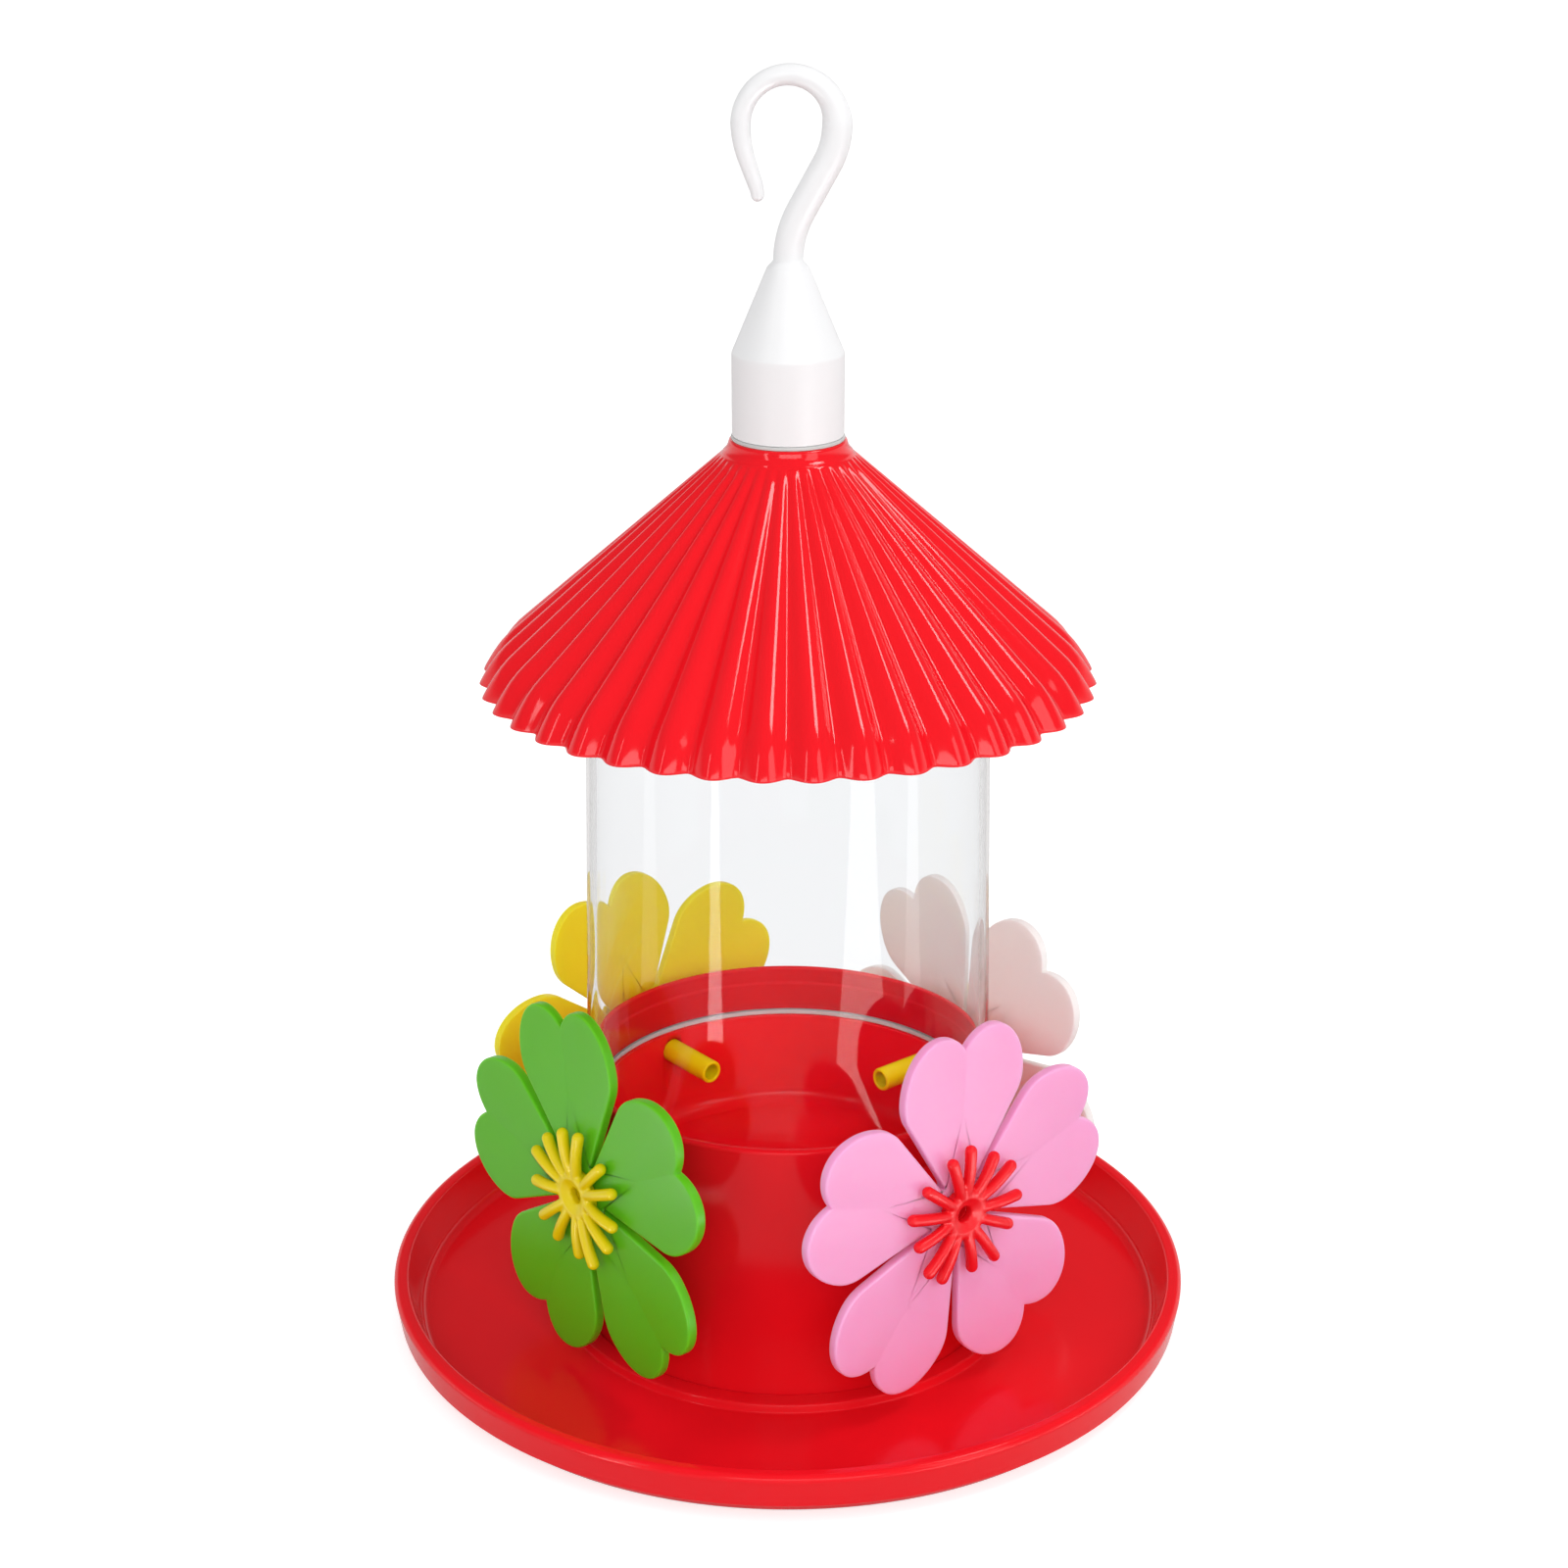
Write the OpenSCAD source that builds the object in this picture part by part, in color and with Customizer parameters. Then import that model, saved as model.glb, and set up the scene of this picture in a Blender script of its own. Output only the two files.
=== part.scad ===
// Hummingbird feeder: a clear reservoir that screws into a red nectar cup on a round perch tray,
// under a fluted rain roof that a screw-on hanger holds down. Four flowers turn on feeding tubes
// that push into ports in the cup. Millimetres, +Z up, origin at the middle of the tray's underside,
// with the hook's plane facing -Y.

/* [Perch tray] */
// Radius of the tray over its rim
tray_r = 94; // [88:0.5:110]
// Height of the tray's rim above the surface it stands on
tray_h = 12.2; // [9:0.1:18]
// Thickness of the tray's floor and walls
tray_wall = 2.2; // [1.6:0.1:2.6]
// Width of the rounded rim, seen from above
tray_rim_w = 3.4; // [3:0.1:6]
// How far the rim's outer wall stays above the surface
tray_skirt_gap = 4; // [2.5:0.1:6]
// Width of the low collar round the cup's foot
collar_w = 4.2; // [2:0.1:6]
// Height of that collar above the tray's floor
collar_h = 1.9; // [1:0.1:4]

/* [Nectar cup] */
// Outer radius of the cup
cup_r = 49.6; // [44:0.1:54]
// Height of the cup's rim above the surface
cup_top = 65.3; // [60:0.1:75]
// Height of the nectar floor inside the cup
cup_floor = 30; // [20:0.5:34]
// Wall of the cup below its screw mouth
cup_wall = 4.7; // [3.6:0.1:5.2]
// Wall of the pedestal under the nectar floor
foot_wall = 2.4; // [1.8:0.1:4]
// Depth of the screw mouth that takes the reservoir
mouth_depth = 11.9; // [9:0.1:13]
// Wall of the cup round that mouth
mouth_wall = 2.3; // [1.8:0.1:2.6]
// How far the middle of the four ports lies under the reservoir's seat
port_drop = 4.6; // [3.6:0.1:6]
// Outer radius of a port's boss
port_boss_r = 7.5; // [5:0.1:9]
// How far a port's boss stands out from the cup, to where the petals sit
port_len = 7; // [5:0.1:9]
// How far the base is turned against the hook, in degrees
flower_turn = -5.6; // [-45:0.1:45]

/* [Reservoir] */
// Wall of the reservoir
tank_wall = 2.2; // [1.5:0.1:3]
// Moulding draft of the reservoir's side, in degrees
tank_draft = 1.1; // [0.3:0.1:1.6]
// Thickness of the ring that seals the mouth
seal_t = 1.2; // [0.8:0.1:2]
// Outer radius of the threaded neck
neck_r = 9; // [7:0.1:10]
// Height of the neck above its shoulder seat
neck_h = 20.2; // [16:0.1:22]

/* [Roof] */
// Radius of the roof over its crests at the eaves
roof_r = 68.7; // [60:0.1:80]
// Height of the eaves above the surface
roof_z = 158; // [150:0.1:165]
// Height of the collar's top above the surface
roof_top = 212.1; // [205:0.1:225]
// Radius of the collar under the hanger
roof_collar_r = 12.9; // [12:0.1:16]
// Height of the collar above the flutes
roof_collar_h = 2.8; // [2:0.1:6]
// Wall of the roof
roof_wall = 1.8; // [1.2:0.1:2.4]
// Number of flutes round the roof
flutes = 40; // [20:1:48]
// Depth of a flute at the eaves
flute_depth = 2.3; // [0.5:0.1:2.5]

/* [Hanger] */
// Outer radius of the hanger's skirt
skirt_r = 12.15; // [11.5:0.05:14]
// Height of the skirt
skirt_h = 17.9; // [15:0.1:24]
// Height of the cone above the skirt
cone_h = 19.4; // [14:0.1:26]
// Radius of the cone's top
cone_top_r = 4.2; // [4:0.1:6]
// Radius of the hook's bend, to the middle of the rod
hook_r = 10.1; // [9:0.1:12]
// Height of the hook's bend above the cone
hook_rise = 28.5; // [26:0.1:40]
// Thickness of the rod at the cone
rod_d = 6.4; // [5:0.1:7]
// Thickness of the rod at its tip
tip_d = 2.9; // [2:0.1:4]
// Thickness of the washer under the skirt
washer_t = 0.8; // [0.5:0.1:1.5]

/* [Flowers] */
// How far the petals' tips stay above the tray's floor
petal_gap = 2.2; // [1:0.1:8]
// Distance of a lobe's centre from the petal's crease
lobe_x = 8.2; // [6:0.1:9.5]
// Radius of a lobe
lobe_r = 11; // [9:0.1:11.2]
// Thickness of the petals
petal_t = 3; // [2:0.1:3.5]
// Depth of the crease from each notch towards the middle
crease_d = 0.35; // [0.2:0.05:0.8]
// Outer radius of a feeding tube
tube_r = 2.8; // [2.4:0.1:3.4]
// Radius of the hole that the beak enters
beak_r = 1.9; // [1.4:0.1:2.1]
// How far a feeding tube reaches into the cup
tube_in = 15.9; // [10:0.1:19]
// Radius of the disc that carries the stamens
disc_r = 6.3; // [5:0.1:7.5]
// Thickness of that disc
disc_t = 2.2; // [1.6:0.1:3]
// Number of stamens on a flower
stamens = 13; // [7:1:14]
// Radius of a stamen rod
stamen_r = 1.4; // [1:0.05:1.5]
// Radius of a stamen's arch
stamen_arch = 16; // [13:0.5:18]

/* [Clearances] */
// Gap between curved faces that pass each other
clear = 0.3; // [0.3:0.05:0.4]
// Radial gap of a piece that turns or slides on a tube
running = 0.08; // [0.04:0.01:0.1]

/* [Hidden] */
$fn = 96;

// Places round the base, in degrees from the front towards +X
green_at = -45 + flower_turn;
pink_at = 45 + flower_turn;
white_at = 135 + flower_turn;
yellow_at = 225 + flower_turn;
// How far each flower is spun on its tube
green_spin = -11;
pink_spin = 2;
white_spin = 31;
yellow_spin = 16;

// Tray
floor_z = tray_wall;
collar_in = cup_r + clear / 2;
collar_out = collar_in + collar_w;
rim_in = tray_r - tray_rim_w;
wall_foot = rim_in - 2.4;
bend_r = 2.6;

// Cup
mouth_r = cup_r - mouth_wall;
lead_in = 0.4;
lead_z = cup_top - 4.2;
seat_z = cup_top - mouth_depth;
port_z = seat_z - port_drop;
port_reach = cup_r + port_len;
inner_r = cup_r - cup_wall;
floor_t = 2.4;
cup_fillet = 4;
port_bore = tube_r + running;

// Reservoir
tank_r = mouth_r - clear;
mouth_z = seat_z + seal_t;
shoulder_z = roof_top - roof_collar_h - 2.2;
neck_top = shoulder_z + neck_h;
seat_r = roof_collar_r - 1;
// The side leaves room under the roof, and the shoulder runs beside it
collar_flare = 1.1;
flute_start_r = roof_collar_r + collar_flare;
droop_w = 6.7;
droop_h = 3.4;
slope = (roof_top - roof_collar_h - roof_z - droop_h) / (roof_r - flute_start_r);
shoulder_gap = roof_wall + flute_depth + 1.6;
function roof_line_z(r) = roof_top - roof_collar_h - (r - flute_start_r) * slope;
side_top = roof_line_z(tank_r) - shoulder_gap - 2;
function side_r(z) = tank_r - (z - mouth_z) * tan(tank_draft);

// Hanger
skirt_z = roof_top + washer_t;
cone_z = skirt_z + skirt_h;
stem_z = cone_z + cone_h;
hook_z = stem_z + hook_rise;
thread_r = neck_r + clear;

// Flowers
petal_n = 5;
petal_r = port_z - floor_z - petal_gap;
lobe_y = sqrt(pow(petal_r - lobe_r, 2) - lobe_x * lobe_x);
petal_half = atan2(lobe_x, lobe_y) + asin(lobe_r / norm([lobe_x, lobe_y]));
hub_r = 8;
petal_face = port_reach + petal_t;
tube_end = inner_r - tube_in;
stamen_start = 4;
stamen_lift = 1.3;

// Points of an arc, from angle a to angle b
function arc(cx, cy, r, a, b, n = 8) = [
    for (i = [0 : n]) [cx + r * cos(a + (b - a) * i / n), cy + r * sin(a + (b - a) * i / n)]
];

// Places a child that stands on its own +Z axis so that it looks out of the cup at a port
module at_port(angle, reach, spin = 0) {
    rotate([0, 0, angle]) translate([0, -reach, port_z]) rotate([90, 0, 0]) rotate([0, 0, -spin])
        children();
}

// The tray: a flat floor, a low collar for the cup's foot and a thick rounded rim
module perch_tray() {
    color("#d8121c") rotate_extrude($fn = 180) {
        polygon(concat(
            [[0, 0], [wall_foot - bend_r, 0]],
            arc(wall_foot - bend_r, bend_r + tray_wall, bend_r + tray_wall, -90, -20, 8),
            [[rim_in + 0.6, tray_skirt_gap], [tray_r - 1.2, tray_skirt_gap]],
            arc(tray_r - 1.6, tray_h - 1.6, 1.6, 0, 90, 6),
            arc(rim_in + 0.9, tray_h - 0.9, 0.9, 100, 180, 4),
            arc(wall_foot - bend_r, bend_r + tray_wall, bend_r, -20, -90, 8),
            [
                [collar_out + 0.7, floor_z],
                [collar_out, floor_z + collar_h - 0.6],
                [collar_out - 0.6, floor_z + collar_h],
                [collar_in, floor_z + collar_h],
                [collar_in, floor_z],
                [0, floor_z]
            ]
        ));
    }
}

// The cup: a pedestal with the nectar floor inside it, a screw mouth and four ports
module nectar_cup() {
    color("#dc1420") difference() {
        union() {
            rotate_extrude($fn = 180) polygon(concat(
                [[0, floor_z], [cup_r, floor_z]],
                arc(cup_r - 0.9, cup_top - 0.9, 0.9, 0, 90, 5),
                [[0, cup_top]]
            ));
            for (a = [green_at, pink_at, white_at, yellow_at])
                at_port(a, cup_r - 1) cylinder(h = port_reach - cup_r + 1, r = port_boss_r);
        }
        rotate_extrude($fn = 180) polygon(concat(
            [[0, cup_floor]],
            arc(inner_r - cup_fillet, cup_floor + cup_fillet, cup_fillet, -90, 0, 6),
            [
                [inner_r, seat_z],
                [mouth_r, seat_z],
                [mouth_r, lead_z],
                [mouth_r + lead_in, lead_z + 0.5],
                [mouth_r + lead_in, cup_top + 1],
                [0, cup_top + 1]
            ]
        ));
        translate([0, 0, floor_z - 1]) rotate_extrude($fn = 180) polygon([
            [0, 0],
            [cup_r - foot_wall, 0],
            [cup_r - foot_wall - 1.5, cup_floor - floor_t - floor_z + 1],
            [0, cup_floor - floor_t - floor_z + 1]
        ]);
        for (a = [green_at, pink_at, white_at, yellow_at])
            at_port(a, inner_r - 4) cylinder(h = port_reach - inner_r + 8, r = port_bore);
    }
}

// The soft ring between the reservoir's edge and the ledge in the cup's mouth
module mouth_seal() {
    color("#e8e8e6") translate([0, 0, seat_z]) difference() {
        cylinder(h = seal_t, r = mouth_r - clear, $fn = 180);
        translate([0, 0, -1]) cylinder(h = seal_t + 2, r = inner_r, $fn = 180);
    }
}

// The clear reservoir: a drafted side, a sloping shoulder under the roof and a closed hollow neck
module reservoir() {
    r_top = side_r(side_top);
    knee = 7;
    color([0.9, 0.95, 1, 0.35]) rotate_extrude($fn = 180) polygon(concat(
        [[tank_r - tank_wall, mouth_z], [tank_r, mouth_z]],
        arc(r_top - knee, side_top - knee, knee, 0, 52, 6),
        [
            [seat_r + 1.5, shoulder_z - 1.6],
            [seat_r, shoulder_z],
            [neck_r, shoulder_z],
            [neck_r, neck_top - 1],
            [neck_r - 1, neck_top],
            [0, neck_top],
            [0, neck_top - tank_wall],
            [neck_r - tank_wall, neck_top - tank_wall],
            [neck_r - tank_wall, shoulder_z - tank_wall - 0.6],
            [seat_r + 0.6, shoulder_z - 1.6 - tank_wall]
        ],
        arc(r_top - knee, side_top - knee, knee - tank_wall, 52, 0, 6)
    ));
}

// Height and slope of the roof's crests: straight from the collar, then drooping a little at the eaves
function droop(r) = max(0, r - roof_r + droop_w) / droop_w;
function crest_z(r) = roof_line_z(r) - droop_h * pow(droop(r), 2);
function crest_slope(r) = atan(slope + 2 * droop_h * droop(r) / droop_w);

// A flute rises to a round crest between two sharp valleys
function flute(a) = abs(sin(a * flutes / 2));

// The roof: a thin fluted cone that is cut flat at the eaves, with a plain collar under the hanger.
// One section of rows runs down the outside, up the inside and through the hole, and goes all round.
module roof() {
    around = flutes * 6;
    rows = [0.05, 0.45, 0.88, 0.95, 1];
    steep = crest_slope(roof_r);
    // Radius and height of the fluted face at an angle, from the collar (0) to the eaves (1), on the
    // outside (k = 0) or under the wall (k = 1)
    function face(s, k, a) = let (
        valley = 1 - flute(a),
        end_r = roof_r - (flute_depth * valley + k * roof_wall) / sin(steep),
        r = flute_start_r + s * (end_r - flute_start_r),
        down = flute_depth * min(1, 0.15 + s) * valley + k * roof_wall
    ) s < 1 ? [r, crest_z(r) - down / cos(crest_slope(r))] : [end_r, roof_z];
    function section(a) = concat(
        [
            [thread_r, shoulder_z],
            [thread_r, roof_top],
            [roof_collar_r, roof_top],
            [roof_collar_r + 0.1, roof_top - 0.8],
            [flute_start_r, roof_top - roof_collar_h]
        ],
        [for (s = rows) face(s, 0, a)],
        [for (i = [len(rows) - 1 : -1 : 1]) face(rows[i], 1, a)],
        [[seat_r, shoulder_z]]
    );
    m = len(section(0));
    function at(i, j) = (i % around) * m + j % m;
    color("#e0141e") polyhedron(
        points = [for (i = [0 : around - 1]) let (a = i * 360 / around) for (p = section(a))
            [p[0] * sin(a), -p[0] * cos(a), p[1]]],
        faces = [for (j = [0 : m - 1]) for (i = [0 : around - 1]) for (k = [0, 1]) k == 0
            ? [at(i, j), at(i + 1, j), at(i, j + 1)]
            : [at(i + 1, j), at(i + 1, j + 1), at(i, j + 1)]]
    );
}

// The washer that the skirt presses on
module hanger_washer() {
    color("#f2f2f0") translate([0, 0, roof_top]) difference() {
        cylinder(h = washer_t, r = skirt_r + 0.2);
        translate([0, 0, -1]) cylinder(h = washer_t + 2, r = thread_r);
    }
}

// The hook's middle line in the XZ plane: a stem that leans out in an S, a round bend and a tip
lean = 29;
stem_bend = 22;
neck_bend = 17;
tip_lean = 19;
tip_bend = 22;
tip_len = 5.6;
lip_bend = 9;
stem_straight = (hook_rise - (stem_bend + neck_bend) * sin(lean)) / cos(lean);
// Each step: its length along the line, the turn to the right over it, and the number of points
hook_steps = [
    [3, 0, 1],
    [stem_bend * lean * PI / 180, lean, 5],
    [stem_straight, 0, 2],
    [neck_bend * lean * PI / 180, -lean, 4],
    [hook_r * PI, -180, 14],
    [tip_bend * tip_lean * PI / 180, -tip_lean, 3],
    [tip_len, 0, 2],
    [lip_bend * (tip_lean - 5) * PI / 180, tip_lean - 5, 2]
];
// The points of a line that goes on from p, at an angle a from +Z, through the steps from i on
function trail(p, a, i = 0, k = 0) =
    i >= len(hook_steps) ? [p]
    : let (
        g = hook_steps[i],
        turn = g[1] / g[2],
        half = turn / 2,
        part = g[0] / g[2],
        chord = abs(half) < 0.01 ? part : part * sin(half) / (half * PI / 180),
        q = p + chord * [sin(a + half), cos(a + half)]
    ) concat([p], k + 1 < g[2] ? trail(q, a + turn, i, k + 1) : trail(q, a + turn, i + 1, 0));

// The hanger: one moulding of threaded skirt, cone and tapering hook
module hanger() {
    line = trail([0, stem_z - 3], 0);
    n = len(line);
    sides = 14;
    function way(i) = let (
        a = line[max(0, i - 1)],
        b = line[min(n - 1, i + 1)]
    ) (b - a) / norm(b - a);
    // The rod keeps its thickness up to the round bend, thins over the bend and again towards the tip
    bend_i = 12;
    over_i = 26;
    bend_d = 4.3;
    function rod_r(i) = (i <= bend_i ? rod_d
        : i <= over_i ? bend_d + (rod_d - bend_d) * pow((over_i - i) / (over_i - bend_i), 3)
        : bend_d - (bend_d - tip_d) * (i - over_i) / (n - 1 - over_i)) / 2;
    // Each ring: its middle, its direction and its radius; the last ones round the tip
    end = line[n - 1];
    end_way = way(n - 1);
    rings = concat(
        [for (i = [0 : n - 1]) [line[i], way(i), rod_r(i)]],
        [for (b = [30, 60]) [end + tip_d / 2 * sin(b) * end_way, end_way, tip_d / 2 * cos(b)]]
    );
    last = len(rings) - 1;
    tip = end + tip_d / 2 * end_way;
    color("#f0f0f2") difference() {
        union() {
            polyhedron(
                points = concat(
                    [for (g = rings) for (k = [0 : sides - 1]) let (a = 360 * k / sides) [
                        g[0][0] + g[2] * cos(a) * g[1][1],
                        g[2] * sin(a),
                        g[0][1] - g[2] * cos(a) * g[1][0]
                    ]],
                    [[tip[0], 0, tip[1]]]
                ),
                faces = concat(
                    [[for (k = [0 : sides - 1]) k]],
                    [for (i = [0 : last - 1]) for (k = [0 : sides - 1]) [
                        i * sides + k,
                        (i + 1) * sides + k,
                        (i + 1) * sides + (k + 1) % sides,
                        i * sides + (k + 1) % sides
                    ]],
                    [for (k = [0 : sides - 1])
                        [last * sides + k, (last + 1) * sides, last * sides + (k + 1) % sides]]
                )
            );
            rotate_extrude() polygon([
                [0, skirt_z],
                [skirt_r, skirt_z],
                [skirt_r, cone_z - 0.5],
                [skirt_r - 0.5, cone_z],
                [cone_top_r, stem_z - 1.4],
                [cone_top_r - 0.6, stem_z - 0.3],
                [cone_top_r - 1.1, stem_z],
                [0, stem_z]
            ]);
        }
        translate([0, 0, skirt_z - 1]) cylinder(h = neck_top - skirt_z + clear + 1, r = thread_r);
    }
}

// Outline of one petal, pointing along +Y: a wedge from the middle that ends in two round lobes
module petal_outline() {
    side = sqrt(pow(norm([lobe_x, lobe_y]), 2) - lobe_r * lobe_r);
    polygon([
        [0, 0],
        [side * sin(petal_half), side * cos(petal_half)],
        [lobe_x, lobe_y + 2],
        [-lobe_x, lobe_y + 2],
        [-side * sin(petal_half), side * cos(petal_half)]
    ]);
    for (s = [-1, 1]) translate([s * lobe_x, lobe_y]) circle(r = lobe_r, $fn = 64);
}

// Five petals in one plate, creased from each notch towards the middle
module petals() {
    difference() {
        linear_extrude(petal_t) union() {
            circle(r = hub_r, $fn = 64);
            for (i = [0 : petal_n - 1]) rotate(i * 360 / petal_n) petal_outline();
        }
        translate([0, 0, -1]) cylinder(h = petal_t + 2, r = tube_r + running);
        for (i = [0 : petal_n - 1]) rotate([0, 0, i * 360 / petal_n])
            translate([-crease_d, 16, petal_t]) rotate([0, 45, 0])
                cube([crease_d * sqrt(2), lobe_y + lobe_r, crease_d * sqrt(2)]);
    }
}

// One stamen rod that arches up and out of the disc, thickens a little and ends round
module stamen(rise, fall) {
    sides = 8;
    bends = 4;
    root = [stamen_start + stamen_arch * sin(rise), stamen_lift - stamen_arch * cos(rise)];
    // Each ring: slope of the rod, distance past the end of the arch, and radius
    rings = concat(
        [for (i = [0 : bends]) [rise - (rise + fall) * i / bends, 0, stamen_r * (0.82 + 0.18 * i / bends)]],
        [for (b = [32, 62]) [-fall, stamen_r * sin(b), stamen_r * cos(b)]]
    );
    function middle(g) = root + stamen_arch * [-sin(g[0]), cos(g[0])] + g[1] * [cos(g[0]), sin(g[0])];
    n = len(rings);
    tip = root + stamen_arch * [sin(fall), cos(fall)] + stamen_r * [cos(fall), -sin(fall)];
    polyhedron(
        points = concat(
            [for (g = rings) for (k = [0 : sides - 1]) let (m = middle(g), a = 360 * k / sides) [
                m[0] + g[2] * cos(a) * sin(g[0]),
                g[2] * sin(a),
                m[1] - g[2] * cos(a) * cos(g[0])
            ]],
            [[tip[0], 0, tip[1]]]
        ),
        faces = concat(
            [[for (k = [0 : sides - 1]) k]],
            [for (i = [0 : n - 2]) for (k = [0 : sides - 1]) [
                i * sides + k,
                (i + 1) * sides + k,
                (i + 1) * sides + (k + 1) % sides,
                i * sides + (k + 1) % sides
            ]],
            [for (k = [0 : sides - 1]) [(n - 1) * sides + k, n * sides, (n - 1) * sides + (k + 1) % sides]]
        )
    );
}

// The stamens on their disc, with a funnel in the middle that leads to the feeding tube
module stamen_piece() {
    difference() {
        union() {
            cylinder(h = disc_t, r = disc_r, $fn = 64);
            for (i = [0 : stamens - 1]) rotate([0, 0, (i + 0.12 * sin(150 * i)) * 360 / stamens])
                stamen(30 + 5 * sin(137 * i), 14 + 5 * cos(97 * i));
        }
        translate([0, 0, -1]) cylinder(h = disc_t + 4, r = beak_r);
        translate([0, 0, disc_t - 0.9]) cylinder(h = 3, r1 = beak_r, r2 = beak_r + 2.6);
    }
}

// The tube that birds feed through, from the back of the disc through the petals and the port
module feeding_tube() {
    rotate([180, 0, 0]) difference() {
        cylinder(h = petal_face - tube_end, r = tube_r);
        translate([0, 0, -1]) cylinder(h = petal_face - tube_end + 2, r = beak_r);
    }
}

module green_petals() { color("#58ab26") at_port(green_at, port_reach, green_spin) petals(); }
module pink_petals() { color("#f59fcf") at_port(pink_at, port_reach, pink_spin) petals(); }
module white_petals() { color("#ece8e4") at_port(white_at, port_reach, white_spin) petals(); }
module yellow_petals() { color("#ecd428") at_port(yellow_at, port_reach, yellow_spin) petals(); }

module green_stamens() { color("#e2cf08") at_port(green_at, petal_face, 5) stamen_piece(); }
module pink_stamens() { color("#f2141e") at_port(pink_at, petal_face, 0) stamen_piece(); }
module white_stamens() { color("#e2cf08") at_port(white_at, petal_face, 11) stamen_piece(); }
module yellow_stamens() { color("#e2cf08") at_port(yellow_at, petal_face, 17) stamen_piece(); }

module green_feeding_tube() { color("#e2cf08") at_port(green_at, petal_face) feeding_tube(); }
module pink_feeding_tube() { color("#f2141e") at_port(pink_at, petal_face) feeding_tube(); }
module white_feeding_tube() { color("#e2cf08") at_port(white_at, petal_face) feeding_tube(); }
module yellow_feeding_tube() { color("#e2cf08") at_port(yellow_at, petal_face) feeding_tube(); }

perch_tray();
nectar_cup();
mouth_seal();
reservoir();
roof();
hanger_washer();
hanger();
green_petals();
pink_petals();
white_petals();
yellow_petals();
green_stamens();
pink_stamens();
white_stamens();
yellow_stamens();
green_feeding_tube();
pink_feeding_tube();
white_feeding_tube();
yellow_feeding_tube();
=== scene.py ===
"""Hummingbird feeder: the moulded shapes and finishes that dress its CAD solids, and a plain studio."""
import math

import bmesh
import bpy
import numpy as np
from bpy.props import FloatProperty, FloatVectorProperty, IntProperty, PointerProperty
from mathutils import Matrix, Vector


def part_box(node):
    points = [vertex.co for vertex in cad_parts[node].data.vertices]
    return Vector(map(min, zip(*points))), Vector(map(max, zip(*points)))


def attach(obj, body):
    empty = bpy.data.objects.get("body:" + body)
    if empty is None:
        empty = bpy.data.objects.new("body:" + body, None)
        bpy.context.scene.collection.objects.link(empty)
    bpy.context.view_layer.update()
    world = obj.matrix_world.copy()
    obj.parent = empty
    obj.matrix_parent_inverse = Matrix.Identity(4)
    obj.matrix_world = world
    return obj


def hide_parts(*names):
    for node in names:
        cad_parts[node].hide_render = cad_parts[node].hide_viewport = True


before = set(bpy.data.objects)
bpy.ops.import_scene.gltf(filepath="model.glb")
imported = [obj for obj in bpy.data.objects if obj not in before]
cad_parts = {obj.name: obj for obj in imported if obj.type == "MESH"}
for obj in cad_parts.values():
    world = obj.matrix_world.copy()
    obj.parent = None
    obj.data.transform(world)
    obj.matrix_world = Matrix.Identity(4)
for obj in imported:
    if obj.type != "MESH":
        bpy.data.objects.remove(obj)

bl_info = {
    "name": "Hummingbird Feeder",
    "version": (1, 0, 0),
    "blender": (4, 5, 0),
    "location": "View3D > Sidebar > Feeder",
    "description": "Builds the mouldings, finishes and studio of a hummingbird feeder",
    "category": "Object",
}

MM = 0.001
TRAY_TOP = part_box("perch_tray")[1]
CUP_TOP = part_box("nectar_cup")[1]
SEAL_LOW, SEAL_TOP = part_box("mouth_seal")
TANK_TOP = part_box("reservoir")[1]
ROOF_LOW, ROOF_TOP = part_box("roof")
HANGER_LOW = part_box("hanger")[0]

# How far the base is turned against the hook, and each flower: its place round the base in degrees
# from the front towards +X, the spin of its petals and the spin of its stamens
BASE_TURN = -5.6
FLOWERS = {
    "green": (BASE_TURN - 45, -11, 5),
    "pink": (BASE_TURN + 45, 2, 0),
    "white": (BASE_TURN + 135, 31, 11),
    "yellow": (BASE_TURN + 225, 16, 17),
}


def linear(hex_colour):
    """An sRGB hex colour as linear red, green and blue."""
    parts = [int(hex_colour[i:i + 2], 16) / 255 for i in (1, 3, 5)]
    return [c / 12.92 if c <= 0.04045 else ((c + 0.055) / 1.055) ** 2.4 for c in parts]


def length(name, description, default):
    """A length in metres that the panel shows in the scene's units."""
    return FloatProperty(
        name=name, description=description, default=default, min=0, precision=4, unit="LENGTH"
    )


def strength(name, description, default, **settings):
    """The strength of a light, never below 0."""
    return FloatProperty(name=name, description=description, default=default, min=0, **settings)


def number_of(name, description, default, low, high):
    """A whole number of like things."""
    return IntProperty(name=name, description=description, default=default, min=low, max=high)


def colour(name, description, default):
    """A colour that the panel shows as a swatch."""
    return FloatVectorProperty(
        name=name, description=description, default=linear(default), min=0, max=1, size=3, subtype="COLOR"
    )


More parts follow.
